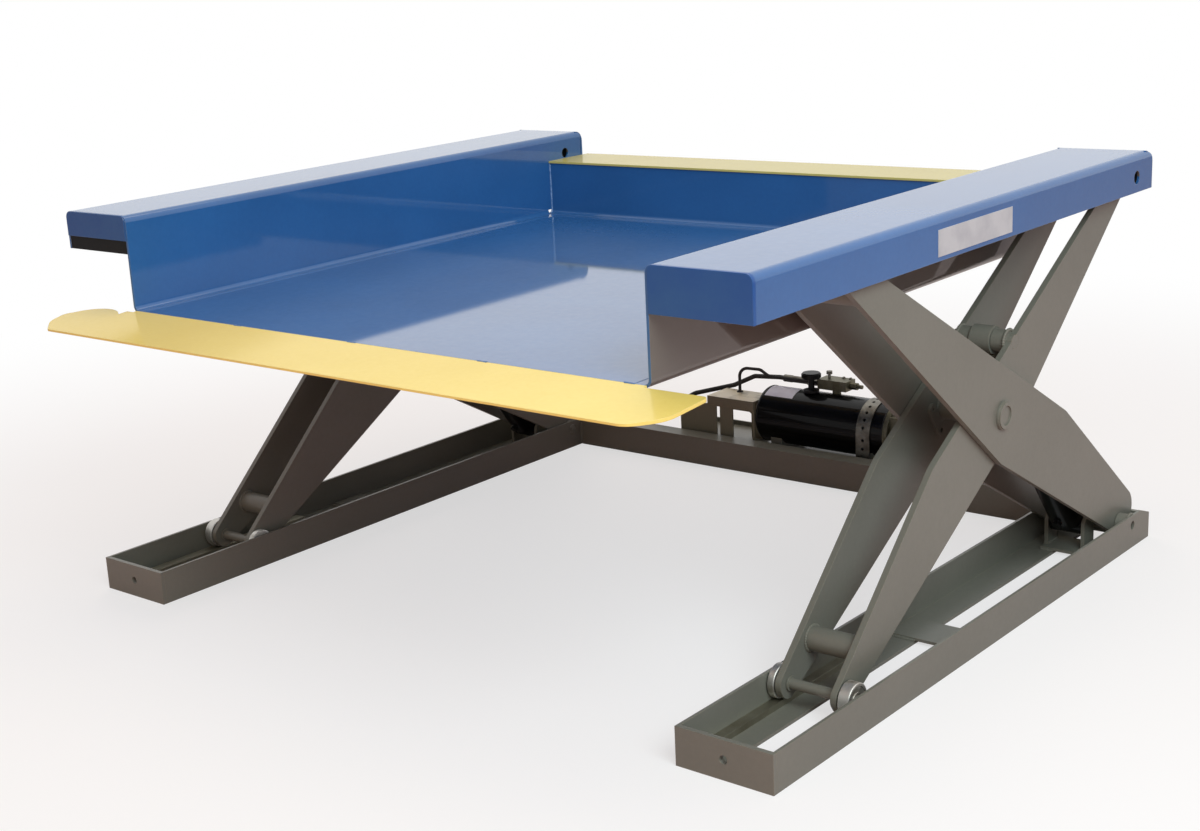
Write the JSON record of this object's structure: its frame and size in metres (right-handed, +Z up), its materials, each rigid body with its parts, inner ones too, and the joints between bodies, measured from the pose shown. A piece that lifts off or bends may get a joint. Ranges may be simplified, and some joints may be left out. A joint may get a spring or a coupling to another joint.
{
  "type": "scissor lift table",
  "caption": "Floor-height scissor lift table: low deck between side wings, back stop and approach ramp, scissors on base frames at each side, hydraulic cylinders and a rear power unit.",
  "frame": {"origin": "middle of the footprint, on the floor", "axes": "+X to the right seen from the ramp side, -Y to the front (ramp), +Z up; drawn at a raised working height"},
  "size_m": [1.756, 1.837, 0.8456],
  "materials": {
    "frame_paint": "semi-gloss grey-green enamel",
    "blue_paint": "gloss blue enamel",
    "yellow_paint": "gloss yellow enamel",
    "rubber": "matt moulded rubber",
    "hose_rubber": "smooth hose rubber",
    "bright_steel": "turned bright steel",
    "chrome_rod": "polished hard chrome",
    "black_paint": "gloss black enamel",
    "black_plastic": "moulded plastic",
    "plated_steel": "zinc plate",
    "cast_alloy": "cast and machined",
    "plate_aluminium": "brushed sheet"
  },
  "bodies": {
    "base": {"inner_rails": "frame_paint", "outer_rails": "frame_paint", "base_front_plates": "frame_paint", "base_rear_plates": "frame_paint", "base_wear_strips": "bright_steel", "base_straps": "frame_paint", "rear_cross_tube": "frame_paint", "base_pivot_shafts": "bright_steel", "base_pivot_bosses": "frame_paint", "cylinder_brackets": "frame_paint", "power_unit_tray": "frame_paint", "oil_tank": "black_paint", "tank_strap": "plated_steel", "breather_cap": "black_plastic", "valve_block": "cast_alloy", "pump_body": "cast_alloy", "motor": "black_paint", "hose_fittings": "plated_steel", "hose_clips": "plated_steel", "hydraulic_hoses": "hose_rubber", "control_cable": "hose_rubber", "hose_stand": "frame_paint"},
    "valve_knob": {"valve_knob": "plated_steel"},
    "platform": {"deck": "blue_paint", "back_wall": "blue_paint", "right_wing": "blue_paint", "left_wing": "blue_paint", "wing_front_caps": "blue_paint", "wing_rear_caps": "blue_paint", "left_wing_bumper": "rubber", "rear_ledge": "yellow_paint", "ramp": "yellow_paint", "deck_stiffeners": "blue_paint", "top_wear_strips": "bright_steel", "platform_shafts": "bright_steel", "nameplate": "plate_aluminium"},
    "right_outer_arm": {"right_outer_arm_plates": "frame_paint", "right_outer_arm_tubes": "frame_paint", "right_centre_pin": "frame_paint", "right_top_axle": "bright_steel"},
    "right_inner_arm": {"right_inner_arm_plates": "frame_paint", "right_inner_arm_tubes": "frame_paint", "right_bottom_axle": "frame_paint"},
    "right_top_rollers": {"right_top_rollers": "bright_steel"},
    "right_bottom_rollers": {"right_bottom_rollers": "bright_steel"},
    "right_cylinder_rod": {"right_cylinder_rod": "chrome_rod", "right_rod_eye": "frame_paint"},
    "right_cylinder_barrel": {"right_cylinder_barrel": "black_paint"},
    "left_outer_arm": {"left_outer_arm_plates": "frame_paint", "left_outer_arm_tubes": "frame_paint", "left_centre_pin": "frame_paint", "left_top_axle": "bright_steel"},
    "left_inner_arm": {"left_inner_arm_plates": "frame_paint", "left_inner_arm_tubes": "frame_paint", "left_bottom_axle": "frame_paint"},
    "left_top_rollers": {"left_top_rollers": "bright_steel"},
    "left_bottom_rollers": {"left_bottom_rollers": "bright_steel"},
    "left_cylinder_rod": {"left_cylinder_rod": "chrome_rod", "left_rod_eye": "frame_paint"},
    "left_cylinder_barrel": {"left_cylinder_barrel": "black_paint"}
  },
  "joints": [
    {"name": "right_lift", "type": "hinge", "parent": "base", "child": "right_outer_arm", "pos_m": [0.77, 0.6395, 0.05], "axis": [-1, 0, 0], "range_deg": [-29.15, 5.8]},
    {"name": "right_scissor", "type": "hinge", "parent": "right_outer_arm", "child": "right_inner_arm", "pos_m": [0.77, 0.08949, 0.42379], "axis": [-1, 0, 0], "range_deg": [-11.7, 58.4]},
    {"name": "platform_level", "type": "hinge", "parent": "right_inner_arm", "child": "platform", "pos_m": [0.77, 0.6395, 0.79757], "axis": [-1, 0, 0], "range_deg": [-29.25, 5.9]},
    {"name": "right_rod_swing", "type": "hinge", "parent": "right_inner_arm", "child": "right_cylinder_rod", "pos_m": [0.77, 0.16299, 0.5487], "axis": [-1, 0, 0], "range_deg": [-63.54, 12.8]},
    {"name": "right_cylinder_stroke", "type": "slide", "parent": "right_cylinder_rod", "child": "right_cylinder_barrel", "axis": [0, 0.6335, -0.7737], "range_m": [-0.1655, 0.0333]},
    {"name": "right_top_roller_spin", "type": "hinge", "parent": "right_outer_arm", "child": "right_top_rollers", "pos_m": [0.77, -0.46052, 0.79757], "axis": [1, 0, 0], "continuous": true},
    {"name": "right_bottom_roller_spin", "type": "hinge", "parent": "right_inner_arm", "child": "right_bottom_rollers", "pos_m": [0.77, -0.46052, 0.05], "axis": [1, 0, 0], "continuous": true},
    {"name": "left_lift", "type": "hinge", "parent": "base", "child": "left_outer_arm", "pos_m": [-0.77, 0.6395, 0.05], "axis": [-1, 0, 0], "range_deg": [-29.15, 5.8]},
    {"name": "left_scissor", "type": "hinge", "parent": "left_outer_arm", "child": "left_inner_arm", "pos_m": [-0.77, 0.08949, 0.42379], "axis": [-1, 0, 0], "range_deg": [-11.7, 58.4]},
    {"name": "left_rod_swing", "type": "hinge", "parent": "left_inner_arm", "child": "left_cylinder_rod", "pos_m": [-0.77, 0.16299, 0.5487], "axis": [-1, 0, 0], "range_deg": [-63.54, 12.8]},
    {"name": "left_cylinder_stroke", "type": "slide", "parent": "left_cylinder_rod", "child": "left_cylinder_barrel", "axis": [0, 0.6335, -0.7737], "range_m": [-0.1655, 0.0333]},
    {"name": "left_top_roller_spin", "type": "hinge", "parent": "left_outer_arm", "child": "left_top_rollers", "pos_m": [-0.77, -0.46052, 0.79757], "axis": [1, 0, 0], "continuous": true},
    {"name": "left_bottom_roller_spin", "type": "hinge", "parent": "left_inner_arm", "child": "left_bottom_rollers", "pos_m": [-0.77, -0.46052, 0.05], "axis": [1, 0, 0], "continuous": true},
    {"name": "valve_knob_turn", "type": "hinge", "parent": "base", "child": "valve_knob", "pos_m": [0.002, 0.8405, 0.228], "axis": [0, 0, 1], "range_deg": [0, 360]}
  ],
  "couplings": [
    {"joint": "right_scissor", "follows": "right_lift", "ratio": -2},
    {"joint": "platform_level", "follows": "right_lift", "ratio": 1},
    {"joint": "right_rod_swing", "follows": "right_lift", "ratio": 2.1728},
    {"joint": "right_cylinder_stroke", "follows": "right_lift", "m_per_rad": 0.32426},
    {"joint": "left_scissor", "follows": "right_lift", "ratio": -2},
    {"joint": "left_lift", "follows": "right_lift", "ratio": 1},
    {"joint": "left_rod_swing", "follows": "right_lift", "ratio": 2.1728},
    {"joint": "left_cylinder_stroke", "follows": "right_lift", "m_per_rad": 0.32426}
  ]
}
